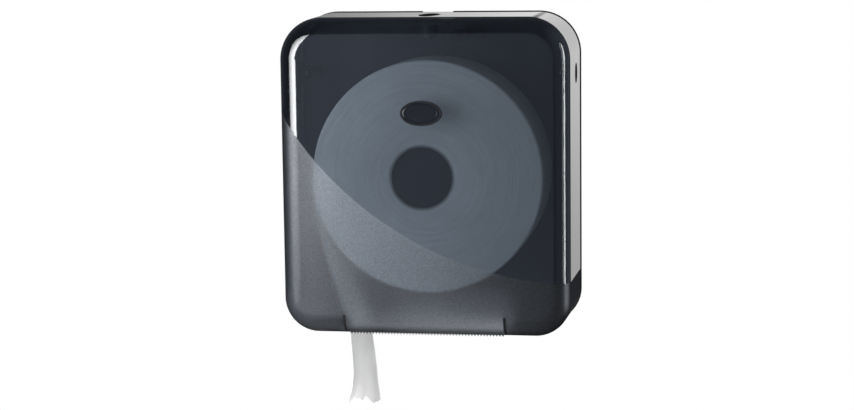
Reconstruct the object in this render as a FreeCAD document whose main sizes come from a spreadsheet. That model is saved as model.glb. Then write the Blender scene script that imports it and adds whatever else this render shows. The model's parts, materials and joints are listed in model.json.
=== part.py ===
import FreeCAD, Part
import math
import os
import re
import Sketcher

# Wall dispenser for one jumbo toilet roll, in millimetres.
# +X is to the right, +Y goes into the wall and +Z is up.
# The origin lies on the wall, at the centre of the four wall screws.

sizes = {
    # smoked cover, measured at its open rear edge
    "coverWidth": 350,
    "coverHeight": 382,
    "coverDepth": 130,
    "coverInset": 1.9,
    "coverWall": 2.5,
    "cornerTop": 50,
    "cornerBottom": 42,
    "edgeRound": 24,
    "seatGap": 0.4,
    # back plate
    "plateThick": 3,
    "plateEdge": 0.8,
    "rimHeight": 9,
    "rimThick": 2.5,
    "rimGap": 0.8,
    "rimFoot": 150,
    "notchWidth": 38,
    "notchDepth": 3.2,
    "padRadius": 52,
    "padThick": 2,
    "wallInsetX": 100,
    "wallInsetZ": 116,
    "wallHoleRadius": 2.75,
    "wallBossRadius": 9,
    "wallBossThick": 2,
    "plateRibThick": 2.4,
    "plateRibHeight": 4,
    "plateRibInset": 65,
    # hinge at the lower rear edge
    "hingeRadius": 6,
    "hingeGap": 0.6,
    "pinRadius": 2.5,
    "pinClearance": 0.06,
    "lugClearance": 0.02,
    "pinHeadThick": 1.25,
    "knuckleInset": 69,
    "knuckleLength": 20,
    "lugThick": 5,
    "lugGap": 0.6,
    "slotGap": 1.4,
    # paper exit and tear bar
    "exitInset": 80,
    "exitSetback": 21.3,
    "ribThick": 2.6,
    "ribHeight": 22.5,
    "ribShiftLeft": 3.6,
    "barEndGap": 1,
    "barThick": 1.4,
    "barFoot": 3,
    "barFootThick": 1.6,
    "barGap": 0.2,
    "barDrop": 0.1,
    "toothCount": 50,
    "toothHeight": 2.2,
    "toothShare": 0.66,
    # badge place
    "badgeWidth": 50.5,
    "badgeHeight": 30,
    "badgeCentre": 77.6,
    "badgeSeat": 0.6,
    "badgeThick": 2.2,
    "bezelWidth": 2.6,
    "bezelThick": 1.8,
    "badgeGap": 0.1,
    "domeRadius": 240,
    # spindle and hub, left of the middle as photographed
    "spindleX": -4.5,
    "spindleZ": -1.6,
    "flangeRadius": 44,
    "flangeThick": 3,
    "postRadius": 17,
    "postScrewCircle": 32,
    "postScrewCount": 4,
    "postScrewAngle": 45,
    "hubRunning": 0.06,
    "hubGap": 0.4,
    "hubFlangeRadius": 47,
    "hubFlangeThick": 2.2,
    "hubWall": 2.4,
    "hubRibCount": 6,
    "hubRecess": 8,
    "washerRadius": 23,
    "washerThick": 1.6,
    "hubScrewRadius": 3,
    "hubScrewReach": 18,
    # roll
    "rollFrontRoom": 24,
    "rollSideRoom": 35.4,
    "rollTopRoom": 50.9,
    "rollShiftX": 6.4,
    "rollShiftZ": 0.7,
    "rollEdge": 3,
    "coreRadius": 36.85,
    "coreWall": 1.4,
    "coreFit": 0.3,
    "windingGap": 0.1,
    "softGap": 0.4,
    # loose paper
    "sheetThick": 0.6,
    "sheetStations": 6,
    "sheetStart": 20,
    "sheetBow": 3.5,
    "exitSheetGap": 1,
    "exitTwist": 5,
    "tailDropFront": 91,
    "tailDropBack": 107,
    "tailTwist": 20.5,
    "tailSwing": 3.4,
    # lock in the top wall
    "lockDepth": 66,
    "lockHoleRadius": 10,
    "dishRadius": 14.5,
    "dishDepth": 0.9,
    "lockRecess": 2.4,
    "lockBossDrop": 6,
    "lockBossRadius": 4,
    "lockScrewSpan": 34,
    "lockFlangeLength": 46,
    "lockFlangeWidth": 24,
    "lockFlangeThick": 3,
    "lockTubeDrop": 12,
    "plugRadius": 7,
    "plugRunning": 0.06,
    "plugHeadRadius": 8.4,
    "plugHeadThick": 2.5,
    "keySlotWidth": 2,
    "keySlotLength": 9,
    "keySlotDepth": 7,
    "camThick": 3,
    "camReach": 28,
    "camWidth": 10,
    "camGap": 0.4,
    "keeperThick": 5,
    "keeperHeight": 10,
    "keeperGap": 0.8,
    "keeperLip": 13,
    "keeperFoot": 26,
    "keeperFootThick": 3,
    "keeperScrewNear": 8.7,
    "keeperScrewFar": 21.7,
    # catch buttons in the side walls
    "catchDepth": 48.5,
    "catchHeight": 119.5,
    "buttonRadius": 12,
    "buttonGap": 0.3,
    "buttonThick": 3,
    "buttonRecess": 0.6,
    "sleeveWall": 2.4,
    "sleeveLength": 14,
    "stemRadius": 5,
    "stemGap": 0.2,
    "hookThick": 3.2,
    "hookHeight": 14,
    "hookReach": 27,
    "noseLength": 4,
    "noseGap": 1,
    "catchLipThick": 3.7,
    "catchEngage": 3,
    "catchFootLength": 18,
    "springWire": 0.9,
    "springRadius": 9,
    "springTurns": 3,
    "coilSteps": 16,
    # small screws
    "screwRadius": 1.5,
    "screwHeadShare": 2,
    "pinHeadShare": 1.3,
    "screwHeadThick": 2,
    "screwFit": 0.1,
    "screwReach": 6,
    # how far a cutting tool runs past a face
    "overrun": 2,
}

# sizes that follow from the ones above
followers = {
    "wallSpanX": "(coverWidth - 2 * wallInsetX)",
    "wallSpanZ": "(coverHeight - 2 * wallInsetZ)",
    "knuckleStart": "(coverWidth / 2 - knuckleInset)",
    "exitWidth": "(coverWidth - 2 * exitInset)",
    "exitFront": "(coverDepth - exitSetback)",
    "barLength": "(exitWidth - 2 * barEndGap)",
    "rollRadius": "min(coverWidth / 2 - rollSideRoom; coverHeight / 2 - rollTopRoom)",
    "exitSheetX": "(exitWidth / 2 - exitSheetGap)",
    "tailEdgeX": "(exitWidth / 2 + tailSwing)",
}

document = FreeCAD.newDocument("dispenser")
sheet = document.addObject("Spreadsheet::Sheet", "sizes")
for row, (alias, amount) in enumerate(sizes.items(), start=1):
    sheet.set(f"A{row}", alias)
    sheet.set(f"B{row}", str(amount))
    sheet.setAlias(f"B{row}", alias)
document.recompute()

sizeNames = re.compile(r"\b(" + "|".join(sizes) + r")\b")
followerNames = re.compile(r"\b(" + "|".join(followers) + r")\b")
directions = {
    "right": FreeCAD.Vector(1, 0, 0),
    "left": FreeCAD.Vector(-1, 0, 0),
    "front": FreeCAD.Vector(0, -1, 0),
    "back": FreeCAD.Vector(0, 1, 0),
    "up": FreeCAD.Vector(0, 0, 1),
    "down": FreeCAD.Vector(0, 0, -1),
}
sides = {"left": -1, "right": 1}
subParts = []


# Formulas name the sizes of the sheet, and are bound to it

def written(formula):
    # the same formula in driving sizes alone
    text = str(formula)
    while followerNames.search(text):
        text = followerNames.sub(lambda found: followers[found.group()], text)
    return text


def number(formula):
    result = sheet.evalExpression(written(formula))
    return float(getattr(result, "Value", result))


def bound(formula):
    return sizeNames.sub(r"sizes.\1", written(formula))


def bind(item, **formulas):
    for name, formula in formulas.items():
        item.setExpression(name, bound(formula))


def place(item, x=0, y=0, z=0, direction=None):
    if direction:
        turn = FreeCAD.Rotation(directions["up"], directions[direction])
        item.Placement = FreeCAD.Placement(FreeCAD.Vector(), turn)
    for axis, formula in zip("xyz", (x, y, z)):
        item.setExpression(f"Placement.Base.{axis}", bound(formula))
    return item


def keep(item, label):
    item.Label = label
    subParts.append(item)
    return item


def spread(side, near, far):
    # the two X values, low first, of a stretch that lies near to far from the middle on one side
    if side > 0:
        return f"({near})", f"({far})"
    return f"-({far})", f"-({near})"


# Plain solids

def block(name, low, high):
    box = document.addObject("Part::Box", name)
    spans = [f"({end}) - ({start})" for start, end in zip(low, high)]
    bind(box, Length=spans[0], Width=spans[1], Height=spans[2])
    return place(box, *low)


def rod(name, radius, length, direction, x=0, y=0, z=0):
    cylinder = document.addObject("Part::Cylinder", name)
    bind(cylinder, Radius=radius, Height=length)
    return place(cylinder, x, y, z, direction)


def fuse(name, *pieces):
    union = document.addObject("Part::MultiFuse", name)
    union.Shapes = list(pieces)
    union.Refine = True
    return union


def cut(name, base, *tools):
    difference = document.addObject("Part::Cut", name)
    difference.Base = base
    difference.Tool = tools[0] if len(tools) == 1 else fuse(f"{name}Tools", *tools)
    difference.Refine = True
    return difference


def common(name, first, second):
    shared = document.addObject("Part::Common", name)
    shared.Base = first
    shared.Tool = second
    return shared


def ring(name, outer, inner, length, direction, x=0, y=0, z=0):
    return cut(name, rod(f"{name}Outer", outer, length, direction, x, y, z),
               rod(f"{name}Bore", inner, length, direction, x, y, z))


def oval(name, width, height, thickness, y, z):
    # an upright ellipse that stands out to the front
    ellipse = document.addObject("Part::Ellipse", f"{name}Outline")
    bind(ellipse, MajorRadius=f"{width} / 2", MinorRadius=f"{height} / 2")
    place(ellipse, 0, y, z, "front")
    plate = document.addObject("Part::Extrusion", name)
    plate.Base = ellipse
    plate.DirMode = "Custom"
    plate.Dir = directions["front"]
    plate.Solid = True
    bind(plate, LengthFwd=thickness)
    return plate


def screw(name, direction, x, y, z, reach="screwReach", shank="screwRadius"):
    # the place is the underside of the head, and the direction is the way the point goes
    away = {"right": (-1, 0, 0), "left": (1, 0, 0), "front": (0, 1, 0),
            "back": (0, -1, 0), "up": (0, 0, -1), "down": (0, 0, 1)}[direction]
    start = [f"({base}) + ({step} * screwHeadThick)" for base, step in zip((x, y, z), away)]
    head = rod(f"{name}Head", f"{shank} * screwHeadShare", "screwHeadThick", direction, *start)
    return fuse(name, head, rod(f"{name}Shank", shank, reach, direction, x, y, z))


def group(label, pieces):
    compound = document.addObject("Part::Compound", label)
    compound.Links = pieces
    return keep(compound, label)


# Bodies made from sketches

def newBody(name):
    return document.addObject("PartDesign::Body", name)


def newSketch(body, name, plane, lift=0):
    sketch = body.newObject("Sketcher::SketchObject", name)
    support = [item for item in body.Origin.OriginFeatures if item.Role == plane][0]
    sketch.AttachmentSupport = [(support, "")]
    sketch.MapMode = "FlatFace"
    sketch.setExpression("AttachmentOffset.Base.z", bound(lift))
    return sketch


def pinPoint(sketch, shape, point, x, y):
    # holds one point of a shape at a distance from the sketch's origin
    for kind, formula in (("DistanceX", x), ("DistanceY", y)):
        index = sketch.addConstraint(Sketcher.Constraint(kind, -1, 1, shape, point, number(formula)))
        sketch.setExpression(f"Constraints[{index}]", bound(formula))


def polygon(sketch, corners):
    points = [FreeCAD.Vector(number(x), number(y), 0) for x, y in corners]
    first = sketch.GeometryCount
    count = len(points)
    for index in range(count):
        sketch.addGeometry(Part.LineSegment(points[index], points[(index + 1) % count]))
    for index, (x, y) in enumerate(corners):
        following = first + (index + 1) % count
        sketch.addConstraint(Sketcher.Constraint("Coincident", first + index, 2, following, 1))
        pinPoint(sketch, first + index, 1, x, y)


def rectangle(sketch, halfWidth, halfHeight):
    polygon(sketch, [(f"-({halfWidth})", f"-({halfHeight})"), (f"{halfWidth}", f"-({halfHeight})"),
                     (f"{halfWidth}", f"{halfHeight}"), (f"-({halfWidth})", f"{halfHeight}")])


def circle(sketch, x, y, radius):
    centre = FreeCAD.Vector(number(x), number(y), 0)
    shape = sketch.addGeometry(Part.Circle(centre, FreeCAD.Vector(0, 0, 1), number(radius)))
    pinPoint(sketch, shape, 3, x, y)
    index = sketch.addConstraint(Sketcher.Constraint("Radius", shape, number(radius)))
    sketch.setExpression(f"Constraints[{index}]", bound(radius))


def feature(body, kind, name, profile, length=None, reverse=False):
    item = body.newObject(f"PartDesign::{kind}", name)
    item.Profile = profile
    item.Reversed = reverse
    if length:
        bind(item, Length=length)
    body.Tip = item
    return item


def revolve(body, name, profile):
    item = feature(body, "Revolution", name, profile)
    item.ReferenceAxis = (profile, ["V_Axis"])
    item.Angle = 360
    return item


def pattern(body, name, original, count):
    # copies a feature all the way round the body's Y axis
    item = body.newObject("PartDesign::PolarPattern", name)
    axis = [part for part in body.Origin.OriginFeatures if part.Role == "Y_Axis"][0]
    item.Originals = [original]
    item.Axis = (axis, [""])
    item.Angle = 360
    bind(item, Occurrences=count)
    body.Tip = item
    return item


def edgeNames(item, chosen):
    return [f"Edge{index}" for index, edge in enumerate(item.Shape.Edges, start=1) if chosen(edge)]


def roundEdges(body, name, base, chosen, radius):
    document.recompute()
    item = body.newObject("PartDesign::Fillet", name)
    item.Base = (base, edgeNames(base, chosen))
    bind(item, Radius=radius)
    body.Tip = item
    return item


def runsInDepth(edge):
    start, end = edge.Vertexes[0].Point, edge.Vertexes[-1].Point
    return abs(end.y - start.y) > abs(end.x - start.x) + abs(end.z - start.z)


def roundedPlate(name, halfWidth, halfHeight, topRadius, bottomRadius, lift, length):
    body = newBody(name)
    outline = newSketch(body, f"{name}Outline", "XZ_Plane", lift)
    rectangle(outline, halfWidth, halfHeight)
    plate = feature(body, "Pad", f"{name}Pad", outline, length)
    upper = roundEdges(body, f"{name}Upper", plate,
                       lambda edge: runsInDepth(edge) and edge.CenterOfMass.z > 0, topRadius)
    roundEdges(body, f"{name}Lower", upper,
               lambda edge: runsInDepth(edge) and edge.CenterOfMass.z < 0, bottomRadius)
    return body


# Places that several pieces share, counted from the wall or from the middle

coverRear = "(plateThick + seatGap)"
coverReach = f"(coverDepth - {coverRear})"
hingeDepth = "(plateThick + hingeGap + hingeRadius)"
hingeDrop = "(coverHeight / 2 - hingeRadius)"
exitHalf = "(exitWidth / 2)"


def halfAt(size, depth):
    # half of the cover's outer width or height at a depth from the wall
    return f"({size} / 2 - coverInset * ({depth} - {coverRear}) / {coverReach})"


sideAtCatch = halfAt("coverWidth", "catchDepth")
topAtLock = halfAt("coverHeight", "lockDepth")
bottomAtExit = halfAt("coverHeight", "exitFront")

flangeFront = "(plateThick + padThick + flangeThick)"
hubRear = f"({flangeFront} + hubGap)"
rollRear = f"({hubRear} + hubFlangeThick + softGap)"
rollFront = "(coverDepth - rollFrontRoom)"
rollWidth = f"({rollFront} - {rollRear})"
hubFront = f"({rollFront} - hubRecess)"
postEnd = f"({hubFront} + hubGap)"
rollX = "(spindleX + rollShiftX)"
rollZ = "(spindleZ + rollShiftZ)"

lockSeat = f"({topAtLock} - coverWall - lockBossDrop)"
lockFoot = f"({lockSeat} - lockFlangeThick - lockTubeDrop)"
plugTop = f"({topAtLock} - lockRecess)"
camTop = f"({lockFoot} - camGap)"

buttonFace = f"({sideAtCatch} - buttonRecess)"
sleeveEnd = f"({sideAtCatch} - sleeveLength)"
hookFace = f"({sleeveEnd} - stemGap)"
noseTip = f"({hookFace} + noseLength)"
noseRear = "(catchDepth - hookReach)"
catchLegX = f"({noseTip} + noseGap)"

footFront = "(plateThick + keeperFootThick)"
footScrewReach = "(keeperFootThick + plateThick / 2)"
keeperLegX = "(camReach + camGap + keeperGap)"
keeperZ = f"({camTop} - camThick / 2)"
postScrewSeat = f"({flangeFront} - screwHeadThick - screwFit)"
postScrewReach = "(flangeThick - screwHeadThick + padThick + plateThick / 2)"


# Smoked cover

def coverBlank(name, skin):
    # a block that narrows to the front, with rounded corners and a rounded front edge
    body = newBody(name)
    blank = body.newObject("PartDesign::AdditiveWedge", f"{name}Wedge")
    wide, tall = f"(coverWidth / 2 - {skin})", f"(coverHeight / 2 - {skin})"
    narrow = f"coverInset * ({coverReach} - {skin}) / {coverReach}"
    bind(blank, Ymin=f"{skin} - coverDepth", Ymax=f"-{coverRear}",
         Xmin=f"{narrow} - {wide}", Xmax=f"{wide} - {narrow}",
         Zmin=f"{narrow} - {tall}", Zmax=f"{tall} - {narrow}",
         X2min=f"-{wide}", X2max=wide, Z2min=f"-{tall}", Z2max=tall)
    body.Tip = blank
    upper = roundEdges(body, f"{name}Upper", blank,
                       lambda edge: runsInDepth(edge) and edge.CenterOfMass.z > 0, f"cornerTop - {skin}")
    lower = roundEdges(body, f"{name}Lower", upper,
                       lambda edge: runsInDepth(edge)
                       and edge.CenterOfMass.z < -number("coverHeight / 2 - cornerBottom / 2"),
                       f"cornerBottom - {skin}")
    document.recompute()
    front = lower.Shape.BoundBox.YMin + number("seatGap")
    roundEdges(body, f"{name}Front", lower,
               lambda edge: edge.BoundBox.YMax < front, f"edgeRound - {skin}")
    return body


def lugSpans(side):
    # the inner and the outer lug on one side of the exit
    inner = spread(side, "knuckleStart - lugGap - lugThick", "knuckleStart - lugGap")
    outer = spread(side, "knuckleStart + knuckleLength + lugGap",
                   "knuckleStart + knuckleLength + lugGap + lugThick")
    return inner, outer


def slotSpans(side):
    inner = spread(side, "knuckleStart - 2 * lugGap - lugThick", "knuckleStart")
    outer = spread(side, "knuckleStart + knuckleLength",
                   "knuckleStart + knuckleLength + 2 * lugGap + lugThick")
    return inner, outer


def makeCover():
    outer = coverBlank("coverOuter", "0")
    inner = coverBlank("coverInner", "coverWall")
    shell = cut("coverShell", outer, inner)

    below = "-(coverHeight / 2 + overrun)"
    openings = [
        block("exitCut", (f"-{exitHalf}", "-exitFront", below),
              (exitHalf, 0, f"-({hingeDrop} - hingeRadius)")),
        block("rearCut", ("-(coverWidth / 2 + overrun)", f"-{hingeDepth}", below),
              ("coverWidth / 2 + overrun", 0, f"-{hingeDrop}")),
    ]
    for sideName, side in sides.items():
        for index, (low, high) in enumerate(slotSpans(side)):
            openings.append(block(f"lugSlot{sideName}{index}",
                                  (low, f"-({hingeDepth} + hingeRadius + slotGap)", below),
                                  (high, 0, f"-({hingeDrop} - hingeRadius)")))
    openShell = cut("coverOpenShell", shell, *openings)

    inside = []
    knuckles = []
    bores = []
    for sideName, side in sides.items():
        shift = "ribShiftLeft" if sideName == "left" else "0"
        low, high = spread(side, f"{exitHalf} + {shift}", f"{exitHalf} + {shift} + ribThick")
        inside.append(block(f"exitRib{sideName}",
                            (low, "-coverDepth", f"-{bottomAtExit}"),
                            (high, "-exitFront", f"-({bottomAtExit} - coverWall - ribHeight)")))
        inside.append(rod(f"sleeve{sideName}", "buttonRadius + buttonGap + sleeveWall", "sleeveLength",
                          sideName, f"{side} * {sleeveEnd}", "-catchDepth", "catchHeight"))
        inside.append(rod(f"lockBoss{sideName}", "lockBossRadius", f"{topAtLock} - {lockSeat}", "up",
                          f"{side} * lockScrewSpan / 2", "-lockDepth", lockSeat))
        low, high = spread(side, "knuckleStart", "knuckleStart + knuckleLength")
        knuckles.append(rod(f"knuckle{sideName}", "hingeRadius", "knuckleLength", "right",
                            low, f"-{hingeDepth}", f"-{hingeDrop}"))
        bores.append(rod(f"knuckleBore{sideName}", "pinRadius + pinClearance", "knuckleLength", "right",
                         low, f"-{hingeDepth}", f"-{hingeDrop}"))
        bores.append(rod(f"buttonBore{sideName}", "buttonRadius + buttonGap", "sleeveLength + overrun",
                         sideName, f"{side} * ({sleeveEnd} + sleeveWall)", "-catchDepth", "catchHeight"))
        bores.append(rod(f"stemBore{sideName}", "stemRadius + stemGap", "sleeveLength",
                         sideName, f"{side} * ({sleeveEnd} - overrun)", "-catchDepth", "catchHeight"))
        bores.append(rod(f"lockPilot{sideName}", "screwRadius + screwFit", "lockBossDrop", "up",
                         f"{side} * lockScrewSpan / 2", "-lockDepth", lockSeat))
    trimmed = common("coverInside", fuse("coverInsideParts", *inside), outer)

    dishBall = document.addObject("Part::Sphere", "lockDish")
    ballRadius = "((dishRadius ^ 2 + dishDepth ^ 2) / (2 * dishDepth))"
    bind(dishBall, Radius=ballRadius)
    place(dishBall, 0, "-lockDepth", f"{topAtLock} - dishDepth + {ballRadius}")
    bores.append(dishBall)
    bores.append(rod("lockHole", "lockHoleRadius", "coverWall + 2 * overrun", "up",
                     0, "-lockDepth", f"{topAtLock} - coverWall - overrun"))
    bores.append(oval("badgeSeatCut", "badgeWidth", "badgeHeight", "badgeSeat + overrun",
                      "-coverDepth + badgeSeat", "badgeCentre"))
    whole = fuse("coverWhole", openShell, trimmed, *knuckles)
    return keep(cut("coverCut", whole, *bores), "cover")


def makeTearBar():
    # the toothed strip hangs in the front edge of the exit, its foot lies on the cover's floor
    body = newBody("tearBar")
    profile = newSketch(body, "barProfile", "YZ_Plane", "-barLength / 2")
    front = "-(exitFront - barGap)"
    rear = f"({front} + barThick)"
    innerRound = "(edgeRound - coverWall)"
    intoRound = "(exitFront + barFoot - coverDepth + edgeRound)"
    rise = f"({innerRound} - sqrt({innerRound} ^ 2 - {intoRound} ^ 2))"
    floor = f"-({halfAt('coverHeight', 'exitFront + barFoot')} - coverWall - {rise} - barGap)"
    bottom = f"-({bottomAtExit} + barDrop)"
    toe = "-(exitFront + barFoot)"
    polygon(profile, [(front, bottom), (rear, bottom), (rear, f"{floor} + barFootThick"),
                      (toe, f"{floor} + barFootThick"), (toe, floor), (front, floor)])
    feature(body, "Pad", "barPad", profile, "barLength")
    pitch = "(barLength / toothCount)"
    toothSketch = newSketch(body, "toothProfile", "XZ_Plane", "exitFront - barGap - barThick")
    left = f"(-barLength / 2 + {pitch} * (1 - toothShare) / 2)"
    right = f"({left} + {pitch} * toothShare)"
    polygon(toothSketch, [(left, f"{bottom} + overrun"), (left, bottom),
                          (f"({left} + {right}) / 2", f"{bottom} - toothHeight"),
                          (right, bottom), (right, f"{bottom} + overrun")])
    tooth = feature(body, "Pad", "tooth", toothSketch, "barThick")
    document.recompute()
    teeth = body.newObject("PartDesign::LinearPattern", "teeth")
    axis = [part for part in body.Origin.OriginFeatures if part.Role == "X_Axis"][0]
    teeth.Originals = [tooth]
    teeth.Direction = (axis, [""])
    bind(teeth, Length=f"barLength - {pitch}", Occurrences="toothCount")
    body.Tip = teeth
    keep(body, "tear_bar")


def makeBadge():
    seat = "-(coverDepth - badgeSeat)"
    rim = oval("bezelRim", "(badgeWidth - 2 * badgeGap)", "(badgeHeight - 2 * badgeGap)", "bezelThick",
               seat, "badgeCentre")
    hole = oval("bezelHole", "(badgeWidth - 2 * badgeGap - 2 * bezelWidth)",
                "(badgeHeight - 2 * badgeGap - 2 * bezelWidth)", "bezelThick", seat, "badgeCentre")
    keep(cut("bezelCut", rim, hole), "badge_bezel")
    blank = oval("insertBlank", "(badgeWidth - 4 * badgeGap - 2 * bezelWidth)",
                 "(badgeHeight - 4 * badgeGap - 2 * bezelWidth)", "badgeThick", seat, "badgeCentre")
    dome = document.addObject("Part::Sphere", "insertDome")
    bind(dome, Radius="domeRadius")
    place(dome, 0, f"{seat} - badgeThick + domeRadius", "badgeCentre")
    keep(common("insertDomed", blank, dome), "badge_insert")


# Back plate

def makeBackPlate():
    plate = roundedPlate("plate", "(coverWidth / 2 + plateEdge)", "(coverHeight / 2 + plateEdge)",
                         "(cornerTop + plateEdge)", "(cornerBottom + plateEdge)", 0, "plateThick")
    skin = "(coverWall + rimGap)"
    rimOuter = roundedPlate("rimOuter", f"(coverWidth / 2 - {skin})", f"(coverHeight / 2 - {skin})",
                            f"(cornerTop - {skin})", f"(cornerBottom - {skin})", "plateThick", "rimHeight")
    skin = "(coverWall + rimGap + rimThick)"
    rimInner = roundedPlate("rimInner", f"(coverWidth / 2 - {skin})", f"(coverHeight / 2 - {skin})",
                            f"(cornerTop - {skin})", f"(cornerBottom - {skin})", "plateThick", "rimHeight")
    rimRoom = block("rimRoom", ("-coverWidth", "-coverDepth", "-rimFoot"), ("coverWidth", 0, "coverHeight"))
    rim = common("rim", cut("rimRing", rimOuter, rimInner), rimRoom)

    solids = [plate, rim, rod("spindlePad", "padRadius", "padThick", "front",
                              "spindleX", "-plateThick", "spindleZ")]
    top = "coverHeight / 2 + plateEdge"
    tools = [block("plateNotch", ("-notchWidth / 2", "-plateThick - overrun", f"{top} - notchDepth"),
                   ("notchWidth / 2", "overrun", f"{top} + overrun"))]
    ribFront = "-(plateThick + plateRibHeight)"
    for sideName, side in sides.items():
        for upName, up in (("Low", -1), ("High", 1)):
            x, z = f"{side} * wallSpanX / 2", f"{up} * wallSpanZ / 2"
            solids.append(rod(f"wallBoss{sideName}{upName}", "wallBossRadius", "wallBossThick", "front",
                              x, "-plateThick", z))
            tools.append(rod(f"wallHole{sideName}{upName}", "wallHoleRadius",
                             "plateThick + wallBossThick + 2 * overrun", "front", x, "overrun", z))
        for index, (low, high) in enumerate(lugSpans(side)):
            solids.append(block(f"lugRoot{sideName}{index}", (low, f"-{hingeDepth}", "-coverHeight / 2"),
                                (high, "-plateThick / 2", f"-({hingeDrop} - hingeRadius)")))
            solids.append(rod(f"lugEye{sideName}{index}", "hingeRadius", "lugThick", "right",
                              low, f"-{hingeDepth}", f"-{hingeDrop}"))
            tools.append(rod(f"lugBore{sideName}{index}", "pinRadius + lugClearance", "lugThick", "right",
                             low, f"-{hingeDepth}", f"-{hingeDrop}"))
        ribLow, ribHigh = spread(side, "padRadius", "coverWidth / 2 - plateRibInset")
        solids.append(block(f"crossRib{sideName}", (ribLow, ribFront, "spindleZ - plateRibThick / 2"),
                            (ribHigh, "-plateThick / 2", "spindleZ + plateRibThick / 2")))
    for upName, up in (("Low", -1), ("High", 1)):
        low, high = spread(up, "padRadius", "coverHeight / 2 - plateRibInset")
        solids.append(block(f"uprightRib{upName}", ("spindleX - plateRibThick / 2", ribFront, low),
                            ("spindleX + plateRibThick / 2", "-plateThick / 2", high)))
    for index in range(sizes["postScrewCount"]):
        x, z = postScrewPlace(index)
        tools.append(rod(f"postPilot{index}", "screwRadius + screwFit", f"{postScrewReach} + screwFit",
                         "back", x, f"-{postScrewSeat}", z))
    for name, x, z in keeperScrewPlaces():
        tools.append(rod(f"{name}Pilot", "screwRadius + screwFit", "plateThick / 2 + 2 * screwFit", "back",
                         x, "-plateThick", z))
    return keep(cut("plateCut", fuse("plateWhole", *solids), *tools), "back_plate")


def postScrewPlace(index):
    turn = f"360 * {index} / postScrewCount + postScrewAngle"
    return f"spindleX + postScrewCircle * cos({turn})", f"spindleZ + postScrewCircle * sin({turn})"


def keeperScrewPlaces():
    # name, X and Z of the screws in the feet of the three keepers
    places = []
    for name in ("keeperScrewNear", "keeperScrewFar"):
        places.append((name.replace("keeper", "lockKeeper"), f"{keeperLegX} + keeperThick + {name}", keeperZ))
    for sideName, side in sides.items():
        x = f"{side} * ({catchLegX} - catchFootLength / 2)"
        places.append((f"catchKeeperScrew{sideName}", x, "catchHeight"))
    return places


# Hinge pins, spindle, hub and roll

def makeHingePins():
    for sideName, side in sides.items():
        inner, outer = lugSpans(side)
        start = inner[0] if side > 0 else outer[0]
        length = "(knuckleLength + 2 * lugGap + 2 * lugThick)"
        shank = rod(f"pinShank{sideName}", "pinRadius", length, "right",
                    start, f"-{hingeDepth}", f"-{hingeDrop}")
        lugEnd = "knuckleStart + knuckleLength + lugGap + lugThick"
        low, high = spread(side, lugEnd, f"{lugEnd} + pinHeadThick")
        head = rod(f"pinHead{sideName}", "pinRadius * pinHeadShare", "pinHeadThick", "right", low,
                   f"-{hingeDepth}", f"-{hingeDrop}")
        keep(fuse(f"hingePin{sideName}", shank, head), f"hinge_pin_{sideName}")


def makeSpindle():
    body = place(newBody("spindlePost"), "spindleX", 0, "spindleZ")
    profile = newSketch(body, "postProfile", "XY_Plane")
    foot = "-(plateThick + padThick)"
    end = f"-{postEnd}"
    hole = "(hubScrewRadius + screwFit)"
    depth = f"-({postEnd} - hubScrewReach)"
    roof = f"-({postEnd} - hubScrewReach - hubWall)"
    bore = "(postRadius - hubWall)"
    polygon(profile, [(bore, foot), ("flangeRadius", foot), ("flangeRadius", f"-{flangeFront}"),
                      ("postRadius", f"-{flangeFront}"), ("postRadius", end), (hole, end), (hole, depth),
                      (0, depth), (0, roof), (bore, roof)])
    revolve(body, "postTurned", profile)
    document.recompute()
    x, y = "postScrewCircle * cos(postScrewAngle)", "postScrewCircle * sin(postScrewAngle)"
    through = newSketch(body, "postHole", "XZ_Plane", flangeFront)
    circle(through, x, y, "screwRadius + screwFit")
    hole = feature(body, "Pocket", "postHoleCut", through, "flangeThick + overrun")
    document.recompute()
    pattern(body, "postHoles", hole, "postScrewCount")
    document.recompute()
    sinkSketch = newSketch(body, "postSink", "XZ_Plane", flangeFront)
    circle(sinkSketch, x, y, "screwRadius * screwHeadShare + screwFit")
    sink = feature(body, "Pocket", "postSinkCut", sinkSketch, "screwHeadThick + screwFit")
    document.recompute()
    pattern(body, "postSinks", sink, "postScrewCount")
    keep(body, "spindle_post")
    screws = []
    for index in range(sizes["postScrewCount"]):
        x, z = postScrewPlace(index)
        screws.append(screw(f"postScrew{index}", "back", x, f"-{postScrewSeat}", z, postScrewReach))
    group("spindle_screws", screws)


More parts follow.
